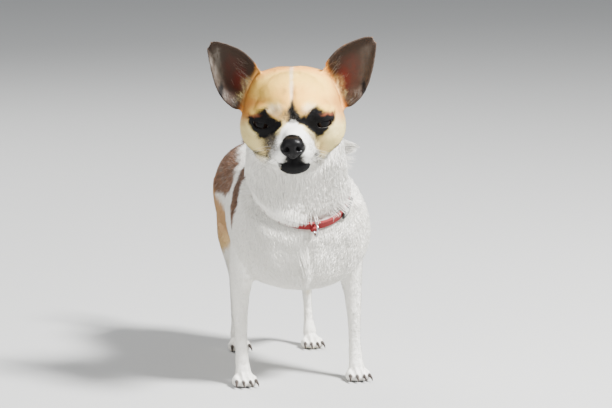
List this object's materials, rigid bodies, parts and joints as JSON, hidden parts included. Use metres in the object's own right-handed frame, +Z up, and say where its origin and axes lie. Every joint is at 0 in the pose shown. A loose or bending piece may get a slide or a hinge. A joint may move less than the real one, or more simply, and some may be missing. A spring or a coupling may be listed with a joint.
{
  "type": "standing chihuahua figure",
  "caption": "Life-size still model of a standing short-haired chihuahua with its head turned, large cupped ears, a sickle tail and a thin collar with a lead ring.",
  "frame": {"origin": "on the floor, under the middle of the model's bounding box", "axes": "+Z up, -Y the way the animal stands and +X its left side"},
  "size_m": [0.1446, 0.2756, 0.2942],
  "materials": {
    "coat": "short flat fur: white with grizzled sable patches on loin and ribs, tan skull, black round the eyes, tan and dark ears",
    "nose_leather": "moist black pebbled leather",
    "eye": "wet, very dark brown eye",
    "claw": "satin dark horn",
    "webbing": "woven red webbing with stitching",
    "buckle_plastic": "satin black plastic",
    "ring_metal": "polished nickel plate"
  },
  "bodies": {
    "root": {"head": "coat", "lower_jaw": "coat", "neck": "coat", "torso": "coat", "tail": "coat", "ear_left": "coat", "ear_right": "coat", "leg_front_left": "coat", "leg_front_right": "coat", "leg_hind_left": "coat", "leg_hind_right": "coat", "paw_front_left": "coat", "paw_front_right": "coat", "paw_hind_left": "coat", "paw_hind_right": "coat", "nose": "nose_leather", "eye_left": "eye", "eye_right": "eye", "claw_front_left_1": "claw", "claw_front_left_2": "claw", "claw_front_left_3": "claw", "claw_front_left_4": "claw", "claw_front_right_1": "claw", "claw_front_right_2": "claw", "claw_front_right_3": "claw", "claw_front_right_4": "claw", "claw_hind_left_1": "claw", "claw_hind_left_2": "claw", "claw_hind_left_3": "claw", "claw_hind_left_4": "claw", "claw_hind_right_1": "claw", "claw_hind_right_2": "claw", "claw_hind_right_3": "claw", "claw_hind_right_4": "claw", "collar": "webbing", "ring_keeper": "webbing", "buckle": "buckle_plastic", "ring": "ring_metal"}
  },
  "joints": []
}
